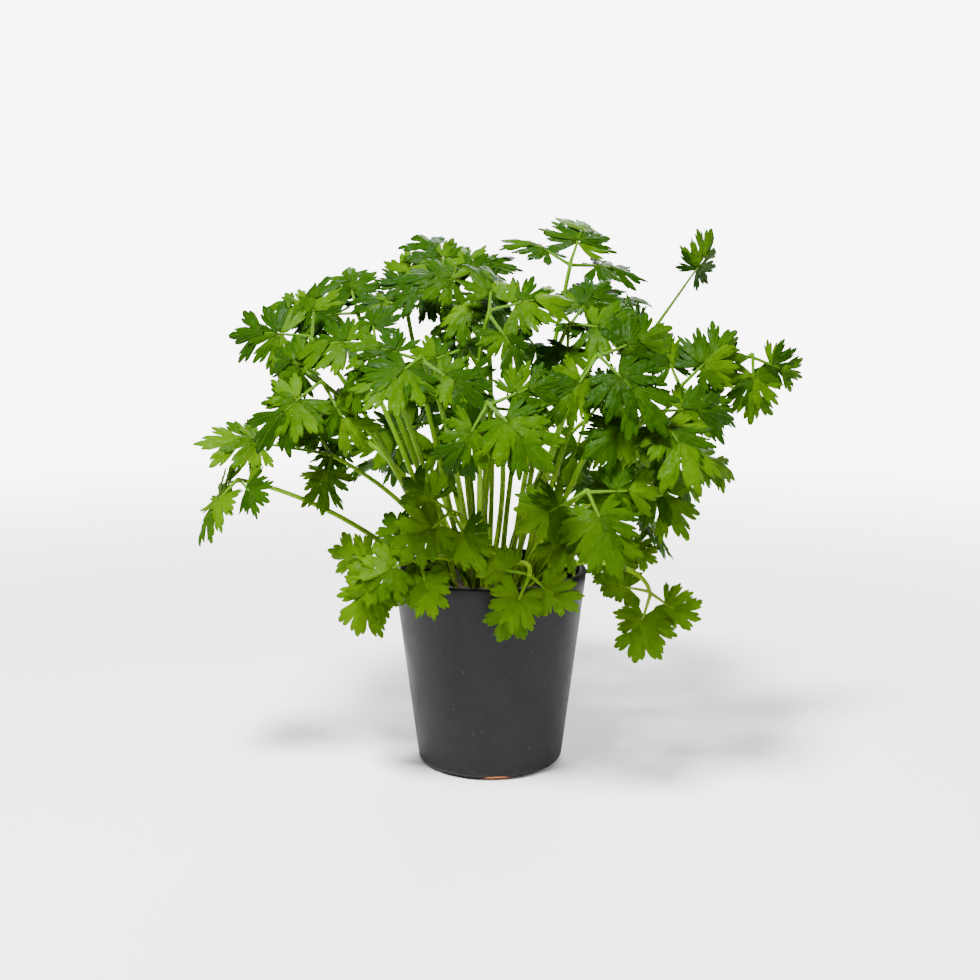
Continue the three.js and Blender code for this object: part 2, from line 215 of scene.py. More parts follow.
class Shader:
    """The node tree of one material."""

    def __init__(self, name: str) -> None:
        """Makes an empty material.

        Args:
            name: Its name.
        """
        self.material = bpy.data.materials.new(name)
        self.material.use_nodes = True
        self.tree = self.material.node_tree
        self.tree.nodes.clear()
        self.output = self.node("ShaderNodeOutputMaterial")

    def node(self, kind: str, settings: dict | None = None, values: dict | None = None) -> Any:
        """Adds a node.

        Args:
            kind: The node's type.
            settings: Its properties.
            values: Its inputs, by name or number: a Value or socket to link, or a constant.

        Returns:
            The node.
        """
        made = self.tree.nodes.new(kind)
        for key, setting in (settings or {}).items():
            setattr(made, key, setting)
        for key, value in (values or {}).items():
            source = value.socket if isinstance(value, Value) else value
            if isinstance(source, bpy.types.NodeSocket):
                self.tree.links.new(source, made.inputs[key])
            else:
                made.inputs[key].default_value = source
        return made

    def value(self, kind: str, settings: dict, values: dict, output: Any = 0) -> Value:
        """Adds a node and gives one of its outputs as a number."""
        return Value(self, self.node(kind, settings, values).outputs[output])

    def place(self) -> Any:
        """The point in the row frame, in metres."""
        return self.node("ShaderNodeTexCoord").outputs["Object"]

    def chart(self) -> tuple[Value, Value, Value]:
        """The point on the piece's own map."""
        return self.split(self.node("ShaderNodeUVMap").outputs[0])

    def tone(self) -> Value:
        """How light this part of the piece is, 0 to 1."""
        return self.value("ShaderNodeAttribute", {"attribute_name": "tone"}, {}, "Fac")

    def split(self, vector: Any) -> tuple[Value, Value, Value]:
        """The three numbers of a vector."""
        parts = self.node("ShaderNodeSeparateXYZ", values={0: vector}).outputs
        return Value(self, parts[0]), Value(self, parts[1]), Value(self, parts[2])

    def noise(self, size: float, detail: float = 2.0) -> Value:
        """Smooth random patches, 0 to 1, of about that size in metres."""
        values = {"Vector": self.place(), "Scale": 1 / size, "Detail": detail}
        return self.value("ShaderNodeTexNoise", {}, values, "Fac")

    def patches(self, patches: Patches) -> Value:
        """Random patches as a share."""
        return self.noise(patches.size, patches.detail).rise(*patches.rise)

    def mix(self, share: Any, first: Any, second: Any) -> Any:
        """A colour between two."""
        values = {0: share, 6: first, 7: second}
        return self.node("ShaderNodeMix", {"data_type": "RGBA"}, values).outputs[2]

    def bump(self, height: Value, depth: float) -> Any:
        """A normal from a height of 0 to 1 that stands for depth metres."""
        values = {"Height": height, "Distance": depth, "Strength": 1.0}
        return self.node("ShaderNodeBump", values=values).outputs[0]

    def surface(self, colour: Any, values: dict) -> Any:
        """A Principled surface."""
        return self.node("ShaderNodeBsdfPrincipled", values={"Base Color": colour, **values})

    def finish(self, surface: Any) -> bpy.types.Material:
        """Joins the surface to the output."""
        self.tree.links.new(surface.outputs[0], self.output.inputs["Surface"])
        return self.material


@dataclass(frozen=True)
class LeafFinish:
    """Parsley leaf: darker and bluer high up, yellower low down, paler veins and undersides.

    The blade's own map gives U = (tooth + place in it) / teeth, and V = 0 to 0.5 from the base to the
    edge of the upper face, 0.5 to 1 on the underside. Its tone paints light and shade on each leaflet:
    high tones lean to a painted sunlit yellow-green, low tones to painted shade.
    """

    teeth: int
    # the dark green of the top leaves, also laid on low-tone leaflets as painted shade
    high: Colour = (0.007, 0.03, 0.0, 1)
    middle: Colour = (0.017, 0.057, 0.0, 1)
    low: Colour = (0.066, 0.145, 0.0, 1)
    # painted sunlight: the bright yellow-green laid on leaflets as if the lamp fell full on them
    painted_sun: Colour = (0.062, 0.14, 0.0, 1)
    under: Colour = (0.03, 0.095, 0.008, 1)
    vein: Colour = (0.2, 0.34, 0.03, 1)
    glow: Colour = (0.2, 0.4, 0.0, 1)
    glow_share: Pair = (0.3, 0.1)
    low_band: Pair = (0.13, 0.22)
    high_band: Pair = (0.2, 0.3)
    patch_size: float = 0.045
    patch_sway: float = 0.12
    # painted light and shade: how far a leaflet's tone moves its colour lighter or darker
    tone_sway: float = 0.08
    mottle: Patches = Patches(0.012, 3.0, (0.35, 0.75, 0.0, 0.35))
    # painted sunlight: patch size and detail, the tone's share, and the rise that sets how much turns
    # bright
    painted_sun_size: float = 0.06
    painted_sun_detail: float = 1.0
    painted_sun_tone: float = 0.4
    painted_sun_rise: Rise = (0.5, 0.8, 0.0, 0.7)
    # painted shade: the rise that darkens low-tone leaflets as if they lay in shadow
    painted_shade_rise: Rise = (0.0, 0.45, 0.55, 0.0)
    vein_width: float = 0.03
    vein_share: float = 0.25
    under_share: float = 0.7
    rib_relief: float = -0.3
    pucker_size: float = 0.0045
    pucker_relief: float = 2.6
    relief_depth: float = 0.0006
    gloss: Patches = Patches(0.008, 2.0, (0.3, 0.7, 0.34, 0.5))
    specular: float = 0.035

    def build(self) -> bpy.types.Material:
        """Makes the material.

        Returns:
            The material: a soft surface mixed with light that comes through the blade.
        """
        s = Shader("leaf")
        across, out, _ = s.chart()
        below = out.maths("GREATER_THAN", 0.5)
        off_rib = abs((across * self.teeth).fraction() - 0.5) * (out * 2).fraction()
        rib = off_rib.rise(0.0, self.vein_width, 1.0, 0.0)
        _, _, height = s.split(s.place())
        tone = s.tone()
        level = height + (s.noise(self.patch_size) - 0.5) * self.patch_sway
        # painted light and shade: high-tone leaflets lighter, low-tone ones darker
        level = level + (0.5 - tone) * self.tone_sway
        colour = s.mix(level.rise(*self.low_band), self.low, self.middle)
        colour = s.mix(level.rise(*self.high_band), colour, self.high)
        colour = s.mix(s.patches(self.mottle), colour, self.middle)
        # painted sunlight: noise patches and high-tone leaflets turn bright yellow-green
        painted_sun = s.noise(self.painted_sun_size, self.painted_sun_detail) * (1 - self.painted_sun_tone)
        painted_sun = painted_sun + tone * self.painted_sun_tone
        colour = s.mix(painted_sun.rise(*self.painted_sun_rise), colour, self.painted_sun)
        # painted shade: low-tone leaflets take the dark top-leaf green
        colour = s.mix(tone.rise(*self.painted_shade_rise), colour, self.high)
        colour = s.mix(rib * self.vein_share, colour, self.vein)
        colour = s.mix(below * self.under_share, colour, self.under)
        relief = rib * self.rib_relief + s.noise(self.pucker_size) * self.pucker_relief
        values = {
            "Roughness": s.patches(self.gloss),
            "Normal": s.bump(relief, self.relief_depth),
            "Specular IOR Level": self.specular,
        }
        blade = s.surface(colour, values)
        glow = s.node("ShaderNodeBsdfTranslucent", values={"Color": self.glow})
        share = level.rise(self.low_band[0], self.high_band[1], *self.glow_share)
        values = {0: share, 1: blade.outputs[0], 2: glow.outputs[0]}
        return s.finish(s.node("ShaderNodeMixShader", values=values))


@dataclass(frozen=True)
class StalkFinish:
    """Leaf stalk: juicy pale green, finely ribbed along its length, yellower near the soil.

    The map gives U round the stalk and V along it. Twigs have a lower tone, which is darker.
    """

    low: Colour = (0.2, 0.36, 0.002, 1)
    high: Colour = (0.06, 0.15, 0.001, 1)
    root: Colour = (0.3, 0.4, 0.03, 1)
    ribs: int = 7
    rib_depth: float = 0.0004
    rib_share: float = 0.25
    pale_band: Pair = (0.13, 0.25)
    root_rise: Rise = (0.108, 0.126, 0.8, 0.0)
    dark_rise: Rise = (0.0, 1.0, 0.9, 0.0)
    mottle: Patches = Patches(0.02, 2.0, (0.3, 0.7, 0.0, 0.4))
    gloss: Patches = Patches(0.01, 2.0, (0.3, 0.7, 0.4, 0.55))
    specular: float = 0.1

    def build(self) -> bpy.types.Material:
        """Makes the material.

        Returns:
            The material.
        """
        s = Shader("stalk")
        around, _, _ = s.chart()
        ribs = (around * (2 * math.pi * self.ribs)).sine() * 0.5 + 0.5
        _, _, height = s.split(s.place())
        colour = s.mix(height.rise(*self.pale_band), self.low, self.high)
        colour = s.mix(s.tone().rise(*self.dark_rise), colour, self.high)
        colour = s.mix(height.rise(*self.root_rise), colour, self.root)
        colour = s.mix(ribs * self.rib_share, colour, self.high)
        colour = s.mix(s.patches(self.mottle), colour, self.high)
        values = {
            "Roughness": s.patches(self.gloss),
            "Normal": s.bump(ribs, self.rib_depth),
            "Specular IOR Level": self.specular,
        }
        return s.finish(s.surface(colour, values))


@dataclass(frozen=True)
class ClayFinish:
    """Clay with a matte charcoal coat: faint smudges and specks, and one bare chip at the foot."""

    coat: Colour = (0.0096, 0.0095, 0.0099, 1)
    smudge: Colour = (0.0155, 0.0153, 0.0147, 1)
    speck: Colour = (0.1, 0.096, 0.09, 1)
    bare: Colour = (0.36, 0.13, 0.045, 1)
    smudges: Patches = Patches(0.035, 5.0, (0.45, 0.75))
    smudge_share: float = 0.5
    smudge_rough: Pair = (0.46, 0.12)
    specks: Patches = Patches(0.0022, 1.0, (0.73, 0.78))
    speck_share: float = 0.25
    chip_middle: float = 0.0037
    chip_half: float = 0.009
    chip_height: float = 0.0026
    chip_edge: Rise = (0.85, 1.0, 1.0, 0.0)
    ragged_size: float = 0.003
    ragged: float = 0.6
    grain_sizes: Pair = (0.0012, 0.012)
    grain_detail: float = 3.0
    fine_share: float = 0.5
    grain_depth: float = 0.00025
    specular: float = 0.095

    def build(self) -> bpy.types.Material:
        """Makes the material.

        Returns:
            The material.
        """
        s = Shader("clay")
        x, y, z = s.split(s.place())
        smudges = s.patches(self.smudges)
        colour = s.mix(smudges * self.smudge_share, self.coat, self.smudge)
        colour = s.mix(s.patches(self.specks) * self.speck_share, colour, self.speck)
        ragged = (s.noise(self.ragged_size) - 0.5) * self.ragged
        side = abs((x - self.chip_middle) / self.chip_half).maths("POWER", 2.0)
        edge = side + abs(z / self.chip_height).maths("POWER", 2.0) + ragged
        chip = edge.rise(*self.chip_edge) * y.maths("LESS_THAN", 0.0)
        colour = s.mix(chip, colour, self.bare)
        fine, coarse = (s.noise(size, self.grain_detail) for size in self.grain_sizes)
        least, more = self.smudge_rough
        values = {
            "Roughness": smudges * more + least,
            "Normal": s.bump(fine * self.fine_share + coarse - chip, self.grain_depth),
            "Specular IOR Level": self.specular,
        }
        return s.finish(s.surface(colour, values))


@dataclass(frozen=True)
class SoilFinish:
    """Damp potting soil: dark crumbs with a few paler fibres."""

    dark: Colour = (0.012, 0.008, 0.005, 1)
    brown: Colour = (0.05, 0.028, 0.015, 1)
    fibre: Colour = (0.16, 0.1, 0.05, 1)
    fibres: Patches = Patches(0.0016, 2.0, (0.66, 0.72, 0.0, 0.7))
    crumb_size: float = 0.003
    crumb_detail: float = 4.0
    crumb_rise: Pair = (0.35, 0.65)
    crumb_depth: float = 0.0012
    rough_rise: Rise = (0.3, 0.7, 0.8, 0.98)

    def build(self) -> bpy.types.Material:
        """Makes the material.

        Returns:
            The material.
        """
        s = Shader("soil")
        crumbs = s.noise(self.crumb_size, self.crumb_detail)
        colour = s.mix(crumbs.rise(*self.crumb_rise), self.dark, self.brown)
        colour = s.mix(s.patches(self.fibres), colour, self.fibre)
        normal = s.bump(crumbs, self.crumb_depth)
        values = {"Roughness": crumbs.rise(*self.rough_rise), "Normal": normal}
        return s.finish(s.surface(colour, values))


# Meshes


@dataclass
class Skin:
    """Four-cornered faces gathered piece by piece, each with a map, a material slot and a tone."""

    points: list[Array] = field(default_factory=list)
    faces: list[Array] = field(default_factory=list)
    maps: list[Array] = field(default_factory=list)
    slots: list[Array] = field(default_factory=list)
    tones: list[Array] = field(default_factory=list)
    count: int = 0

    def add(self, points: Array, faces: Array, uv: Array, slot: int = 0, tone: float = 0.5) -> None:
        """Adds one piece.

        Args:
            points: Corners, n by 3, in millimetres.
            faces: Four corner numbers for each face, m by 4.
            uv: A map place for each corner, n by 2.
            slot: The number of the material.
            tone: How light the piece is beside its neighbours, 0 to 1.
        """
        self.points.append(points)
        self.tones.append(np.full(len(points), tone, np.float32))
        self.faces.append(faces + self.count)
        self.maps.append(uv)
        self.slots.append(np.full(len(faces), slot, np.int32))
        self.count += len(points)

    def triangles(self) -> int:
        """How many triangles its faces make."""
        return 2 * sum(len(faces) for faces in self.faces)

    def build(self, name: str, materials: list[bpy.types.Material]) -> bpy.types.Object:
        """Makes the object, at the origin, in metres.

        Args:
            name: Its name.
            materials: Its materials, by slot.

        Returns:
            The object.
        """
        points = np.concatenate(self.points) * MM
        faces = np.concatenate(self.faces).astype(np.int32)
        mesh = bpy.data.meshes.new(name)
        mesh.vertices.add(len(points))
        mesh.vertices.foreach_set("co", points.astype(np.float32).ravel())
        mesh.loops.add(faces.size)
        mesh.loops.foreach_set("vertex_index", faces.ravel())
        mesh.polygons.add(len(faces))
        mesh.polygons.foreach_set("loop_start", np.arange(0, faces.size, 4, dtype=np.int32))
        mesh.polygons.foreach_set("material_index", np.concatenate(self.slots))
        mesh.polygons.foreach_set("use_smooth", np.ones(len(faces), bool))
        layer = mesh.uv_layers.new(name="UVMap")
        uv = np.concatenate(self.maps)[faces.ravel()]
        layer.data.foreach_set("uv", uv.astype(np.float32).ravel())
        tone = mesh.attributes.new("tone", "FLOAT", "POINT")
        tone.data.foreach_set("value", np.concatenate(self.tones))
        mesh.update(calc_edges=True)
        for material in materials:
            mesh.materials.append(material)
        made = bpy.data.objects.new(name, mesh)
        bpy.context.scene.collection.objects.link(made)
        return made


def grid_faces(rows: int, columns: int, around: bool) -> Array:
    """Faces of a grid of corners.

    Args:
        rows: How many rows it has.
        columns: How many corners are in a row.
        around: Whether each row is closed into a ring.

    Returns:
        Four corner numbers for each face.
    """
    i = np.arange(rows - 1)[:, None]
    j = np.arange(columns if around else columns - 1)[None, :]
    k = (j + 1) % columns
    corners = (i * columns + j, i * columns + k, (i + 1) * columns + k, (i + 1) * columns + j)
    return np.stack(corners, -1).reshape(-1, 4)


def closed_faces(rows: int, columns: int) -> Array:
    """Faces of a stack of rings with a flat cap at each end.

    Args:
        rows: How many rings it has.
        columns: How many corners a ring has, an even number.

    Returns:
        Four corner numbers for each face.
    """
    pairs = np.arange(1, columns - 1, 2)
    first = np.stack([0 * pairs, pairs + 2, pairs + 1, pairs], -1) % columns
    last = np.stack([0 * pairs, pairs, pairs + 1, pairs + 2], -1) % columns + (rows - 1) * columns
    return np.concatenate([grid_faces(rows, columns, True), first, last])


def sheet_faces(rows: int, columns: int) -> Array:
    """Faces of a thin closed sheet: a grid, the same grid turned over, and the rim between them.

    Args:
        rows: How many rows of corners each grid has.
        columns: How many corners are in a row.

    Returns:
        Four corner numbers for each face. The turned grid's corners follow the first grid's.
    """
    count = rows * columns
    upper = grid_faces(rows, columns, False)
    row = np.arange(rows - 1) * columns
    last = row + columns - 1
    right = np.stack([last, last + count, last + columns + count, last + columns], -1)
    left = np.stack([row + columns, row + columns + count, row + count, row], -1)
    near = np.arange(columns - 1)
    far = (rows - 1) * columns + near
    first = np.stack([near, near + count, near + 1 + count, near + 1], -1)
    final = np.stack([far + 1, far + 1 + count, far + count, far], -1)
    return np.concatenate([upper, upper[:, ::-1] + count, right, left, first, final])


def ring_map(rows: int, columns: int) -> Array:
    """A map for a stack of rings: U round each ring and V along the stack."""
    u = np.tile(np.arange(columns) / columns, rows)
    return np.stack([u, np.repeat(np.linspace(0, 1, rows), columns)], -1)


def turned(profile: Array, sides: int) -> Array:
    """Points of a profile turned about Z: (r_i cos t_k, r_i sin t_k, z_i).

    Args:
        profile: Radius and height of each point, n by 2.
        sides: How many places the turn has.

    Returns:
        The points, ring by ring, n * sides by 3.
    """
    turn = np.linspace(0, 2 * np.pi, sides, endpoint=False)
    ring = np.stack([np.cos(turn), np.sin(turn)], -1)
    rise = np.repeat(profile[:, None, 1:], sides, axis=1)
    return np.concatenate([profile[:, None, :1] * ring[None], rise], -1).reshape(-1, 3)


def tube(skin: Skin, line: Array, radii: Array, sides: int, slot: int, tone: float) -> None:
    """Adds a closed round tube.

    Ring i, corner k: line_i + r_i (a_i cos t_k + b_i sin t_k), with a_i carried along the line.

    Args:
        skin: What it is added to.
        line: Points along the middle, n by 3.
        radii: A radius for each point.
        sides: An even number of sides.
        slot: The number of the material.
        tone: How light it is, 0 to 1.
    """
    along = np.gradient(line, axis=0)
    along /= np.linalg.norm(along, axis=1, keepdims=True)
    first = np.zeros_like(along)
    ahead = np.array([1.0, 0.0, 0.0])
    for i, way in enumerate(along):
        ahead = unit(ahead - way * np.dot(ahead, way))
        first[i] = ahead
    second = np.cross(along, first)
    turn = np.linspace(0, 2 * np.pi, sides, endpoint=False)[None, :, None]
    ring = first[:, None] * np.cos(turn) + second[:, None] * np.sin(turn)
    points = (line[:, None] + radii[:, None, None] * ring).reshape(-1, 3)
    faces = closed_faces(len(line), sides)
    skin.add(points, faces, ring_map(len(line), sides), slot, tone)


# The growing rule


@dataclass(frozen=True)
class Sway:
    """A value that strays by amount times swing(seed + step n + shift)."""

    amount: float
    shift: float = 0
    step: float = 0

    def at(self, seed: float, numbers: Any = 0) -> Any:
        """How far it strays, for one number n or for an array of them."""
        return self.amount * swing(seed + self.step * numbers + self.shift)


@dataclass(frozen=True)
class LeafFrame:
    """Where a leaf starts, the way it points, the way its upper face looks, and its side."""

    start: Array
    along: Array
    up: Array
    side: Array

    @classmethod
    def of(cls, start: Array, points: Array, faces: Array) -> "LeafFrame":
        """A frame with its three ways square to each other.

        Args:
            start: Where the leaf starts.
            points: The way that it points.
            faces: The way that its upper face looks, more or less.

        Returns:
            The frame.
        """
        along = unit(points)
        up = unit(faces - along * np.dot(faces, along))
        return cls(start, along, up, np.cross(up, along))


@dataclass(frozen=True)
class Leaf:
    """One leaf: place, length, stalk as a share of the length, half the solid's plan, and seed."""

    place: LeafFrame
    length: float
    stalk: float
    half: tuple[Pair, ...]
    seed: float


@dataclass(frozen=True)
class Frond:
    """One grown frond: its hub and foot, the bow of its stalk, its end leaf and where that begins."""

    index: int
    hub: Array
    foot: Array
    bow: Array
    along: Array
    faces: Array
    size: float
    reach: float


@dataclass(frozen=True)
class GrowingRule:
    """The values and formulas that place every frond, as in the solids."""

    soil_top: float = 110
    soil_crown: float = 3
    fit_gap: float = 0.3
    hole_depth: float = 9
    stalk_foot_radius: float = 1.9
    stalk_hub_radius: float = 1.3
    stalk_steps: tuple[int, int] = (3, 5)
    hang_below: float = 190
    hang_over: float = 60
    climb: Pair = (0.45, 0.9)
    leave: Pair = (0.3, 0.12)
    arrive: float = 0.3
    straight_lost: float = 0.75
    leaf_led: Pair = (0.35, 0.4)
    foot_ring: float = 41
    foot_crowding: float = 0.65
    widest_hub: float = 190
    foot_scatter: float = 3
    blade: float = 0.7
    fold: float = 0.22
    tip_droop: float = 0.75
    side_turn: float = 76
    side_turn_sway: Sway = Sway(8, step=2.3)
    side_roll: float = 22
    side_length: float = 0.8
    side_stalk: float = 0.5
    side_seed: float = 200
    end_stalk: float = 0.42
    side_root: float = 2.4
    end_root: float = 0.5
    half_seed: float = 100
    point_seed: float = 0.37
    plan_sway: Sway = Sway(0.035, shift=50)
    width_sway: Sway = Sway(0.07)
    end_half: tuple[Pair, ...] = (
        (0.0, 0.42), (0.34, 0.64), (0.52, 0.43), (0.19, 0.045),
        (0.62, 0.37), (0.71, 0.25), (0.92, 0.2),
    )
    side_half: tuple[Pair, ...] = (
        (0.02, 0.45), (0.42, 0.54), (0.19, 0.045), (0.64, 0.38), (0.77, 0.24),
    )
    bend_tries: int = 300
    bend_full_at: float = 16
    bend_limit: float = 1.6
    bend_shift: float = 9
    bend_foot: float = 4
    bend_bow: float = 12
    bend_turn: float = 18
    bend_rise: float = 10
    bend_seeds: Point = (7.31, 1.93, 0.61)
    bend_values: int = 11
    miss_limit: float = 3
    miss_allowed: float = 0.3
    back_count: int = 10
    back_seed: float = 1.7
    back_values: int = 5
    golden_turn: float = 137.508
    back_turn: Pair = (24, 150)
    back_radius: Pair = (62, 150)
    back_height: Pair = (150, 272)
    back_leaf: Pair = (36, 42)
    back_crown_from: float = 240
    back_crown_radius: float = 0.85
    back_aim: float = 40
    back_rise: Pair = (-15, 15)
    back_face_rise: float = 35
    front: tuple[Row, ...] = (
        (-150, -30, 182, 205, -45, -150, 30, 34, 0),
        (-100, -4, 188, 182, 8, -90, 45, 36, 30),
        (-108, -8, 266, 170, 4, -95, 25, 42, 0),
        (-104, 48, 278, 160, 12, -120, 50, 36, 0),
        (-84, 34, 280, 110, 46, -95, 25, 34, 0),
        (-52, 20, 284, 95, 58, -90, 20, 32, 0),
        (-12, 16, 294, 130, 34, -95, 30, 40, 0),
        (50, 24, 310, 70, 40, -85, 30, 42, 0),
        (72, 48, 284, 110, 25, -80, 50, 36, 0),
        (66, -20, 268, 60, 40, -95, 35, 28, 0),
        (98, 24, 262, 20, 52, -40, 10, 30, 42),
        (160, 4, 254, -90, -72, -85, 10, 33, 0),
        (116, -16, 240, 20, 40, -85, 30, 36, 0),
        (104, -10, 204, 0, -8, -80, 35, 36, 0),
        (84, -48, 192, -30, -42, -80, 30, 36, 0),
        (54, -82, 184, -60, -48, -85, 20, 38, 0),
        (96, -32, 112, -160, -72, -120, 5, 32, 0),
        (22, -70, 132, -150, -62, -90, 10, 30, 0),
        (-64, -42, 130, -130, -55, -100, 10, 34, 0),
        (-42, -62, 140, 200, -15, -95, 30, 32, 0),
        (-96, -46, 242, 205, -35, -95, 35, 40, 0),
        (-108, 14, 222, 178, -6, -100, 40, 36, 0),
        (60, -66, 258, -40, -35, -85, 25, 42, 0),
        (86, -56, 228, -45, -30, -80, 30, 44, 0),
        (-62, -46, 258, 186, -12, -95, 45, 38, 0),
        (0, -56, 282, 10, 14, -90, 40, 38, 0),
        (-8, -24, 296, 185, 12, -90, 50, 36, 0),
        (72, 30, 122, -90, -60, -80, 10, 27, 0),
        (-38, -80, 258, -120, -20, -90, 40, 38, 0),
        (-6, -88, 238, -60, -40, -90, 40, 38, 0),
        (-28, -52, 180, 200, -25, -90, 45, 32, 0),
        (36, -62, 176, -110, -35, -90, 35, 32, 0),
        (-26, -36, 266, 200, -20, -90, 40, 40, 0),
        (48, -30, 270, -20, -10, -85, 40, 38, 0),
        (10, 34, 226, -60, -25, -85, 25, 40, 0),
        (50, 36, 216, -30, -20, -80, 25, 40, 0),
        (-32, 40, 214, -150, -20, -95, 25, 40, 0),
    )

    def rows(self) -> list[Row]:
        """The front rows, then hubs on a golden-angle spiral with leaves that hang outwards.

        Returns:
            A row for each frond: x, y and z of its hub, the turn and rise that its end leaf points
            along, those that it faces, its length, and how far out it starts.
        """
        rows = list(self.front)
        for k in range(self.back_count):
            pick = [float(draw(k * self.back_seed + n)) for n in range(self.back_values)]
            turn = between(self.back_turn, (k * self.golden_turn) % 360 / 360)
            height = between(self.back_height, (k + 0.5) / self.back_count)
            radius = between(self.back_radius, pick[4])
            radius *= self.back_crown_radius if height > self.back_crown_from else 1
            x, y, _ = heading(turn, 0) * radius
            aim = turn + self.back_aim * (2 * pick[1] - 1)
            rise = between(self.back_rise, pick[2])
            size = between(self.back_leaf, pick[3])
            rows.append((x, y, height, aim, rise, turn, self.back_face_rise, size, 0))
        return rows

    def frond(self, row: Row, index: int, attempt: int) -> Frond:
        """One frond, bent from its row by as much as its attempt says.

        The stray numbers go to the hub (the first three), the end leaf's turn and rise, those of its
        face, the foot and the bow (two each).

        Args:
            row: Its row.
            index: Its number, from 0.
            attempt: Which bend it has, from 0 for none.

        Returns:
            The frond.
        """
        share = min(attempt / self.bend_full_at, self.bend_limit)
        by_frond, by_attempt, by_value = self.bend_seeds
        numbers = np.arange(self.bend_values)
        stray = swing(index * by_frond + attempt * by_attempt + numbers * by_value)
        x, y, z, turn, rise, face_turn, face_rise, size, reach = row
        hub = np.array([x, y, z], float) + self.bend_shift * share * stray[:3]
        out = math.hypot(hub[0], hub[1])
        ring = self.foot_ring * min(out / self.widest_hub, 1) ** self.foot_crowding
        scatter = self.foot_scatter + self.bend_foot * share
        level = self.soil_top + self.soil_crown
        turned, raised = self.bend_turn * share, self.bend_rise * share
        return Frond(
            index=index,
            hub=hub,
            foot=np.array([*(hub[:2] / out * ring + scatter * stray[7:9]), level]),
            bow=np.array([stray[9], stray[10], 0]) * self.bend_bow * share,
            along=heading(turn + turned * stray[3], rise + raised * stray[4]),
            faces=heading(face_turn + turned * stray[5], face_rise + raised * stray[6]),
            size=size,
            reach=reach,
        )

    def stalk(self, frond: Frond, steps: int = 0) -> Array:
        """Points along a stalk: its hole, then a cubic Bezier curve from its foot to its hub.

        Args:
            frond: The frond.
            steps: How many steps the curve takes, or 0 for as many as the solid has.

        Returns:
            Points, n by 3.
        """
        way = frond.hub - frond.foot
        length = float(np.linalg.norm(way))
        straight = way / length
        hang = float(smooth(self.hang_below - frond.hub[2], 0, self.hang_over))
        leave = unit(straight + np.array([0, 0, self.climb[0] + self.climb[1] * hang]))
        led = self.leaf_led[0] + self.leaf_led[1] * hang
        arrive = unit(straight * (1 - self.straight_lost * hang) + frond.along * led)
        second = frond.foot + leave * length * (self.leave[0] + self.leave[1] * hang) + frond.bow
        third = frond.hub - arrive * self.arrive * length + frond.bow
        t = np.linspace(0, 1, (steps or self.stalk_steps[hang > 0.5]) + 1)[:, None]
        curve = (1 - t) ** 3 * frond.foot + 3 * (1 - t) ** 2 * t * second
        curve = curve + 3 * (1 - t) * t * t * third + t**3 * frond.hub
        deep = np.array([*frond.foot[:2], self.soil_top - self.hole_depth + self.fit_gap])
        return np.concatenate([deep[None], curve])

    def leaves(self, frond: Frond) -> list[Leaf]:
        """The end leaf and the two side leaves.

        Args:
            frond: The frond.

        Returns:
            Its three leaves.
        """
        main = LeafFrame.of(frond.hub, frond.along, frond.faces)
        stalk = self.end_stalk + frond.reach / frond.size
        start = frond.hub + main.along * (stalk * frond.size - self.end_root)
        end = LeafFrame(start, main.along, main.up, main.side)
        found = [Leaf(end, frond.size, stalk, self.end_half, float(frond.index))]
        fork = frond.hub - self.side_root * unit(frond.hub - self.stalk(frond)[-2])
        length = self.side_length * frond.size
        for hand in (-1, 1):
            swerve = self.side_turn + self.side_turn_sway.at(hand, frond.index)
            points = turned_about(main.along, main.up, hand * swerve)
            faces = turned_about(main.up, points, hand * self.side_roll)
            place = LeafFrame.of(fork + points * self.side_stalk * length, points, faces)
            seed = frond.index + self.side_seed * (hand + 2)
            found.append(Leaf(place, length, self.side_stalk, self.side_half, seed))
        return found

    def leaf_points(self, leaf: Leaf, u: Array, v: Array, lift: Array) -> Array:
        """Points of a leaf. Past its base the midrib bends down at a steady rate, and both halves fold.

        b = droop max(u, 0); forward = sin b / droop; down = (1 - cos b) / droop; rise = lift - fold |v|.

        Args:
            leaf: The leaf.
            u: How far along the leaf each point is, as a share of its length.
            v: How far to its side, the same way.
            lift: How far above its midrib's sheet, in millimetres.

        Returns:
            The points, with 3 added to the shape of u.
        """
        place, length = leaf.place, leaf.length
        bend = self.tip_droop * np.maximum(u, 0)
        forward = np.where(u > 0, np.sin(bend) / self.tip_droop, u) * length
        down = (1 - np.cos(bend)) / self.tip_droop * length
        rise = lift - self.fold * np.abs(v) * length
        along = (forward + rise * np.sin(bend))[..., None] * place.along
        up = (rise * np.cos(bend) - down)[..., None] * place.up
        return place.start + along + up + (v * length)[..., None] * place.side

    def solid_box(self, frond: Frond) -> Array:
        """The box of the solid's leaves and stalk line.

        Args:
            frond: The frond.

        Returns:
            Its lowest and its highest corner, as six numbers.
        """
        clouds = [self.stalk(frond)]
        for leaf in self.leaves(frond):
            sides = []
            for hand, shift in ((-1, 0), (1, self.half_seed)):
                plan = np.array(leaf.half)
                here = leaf.seed + shift + self.point_seed * np.arange(len(plan))
                u = plan[:, 0] + self.plan_sway.at(here)
                v = plan[:, 1] * (1 + self.width_sway.at(here))
                sides.append(np.stack([u, hand * v], -1))
            plan = np.concatenate([*sides, [[1.0, 0.0], [-leaf.stalk, 0.0]]])
            for lift in (-self.blade / 2, self.blade / 2):
                lifts = np.full(len(plan), lift)
                clouds.append(self.leaf_points(leaf, plan[:, 0], plan[:, 1], lifts))
        cloud = np.concatenate(clouds)
        return np.concatenate([cloud.min(0), cloud.max(0)])

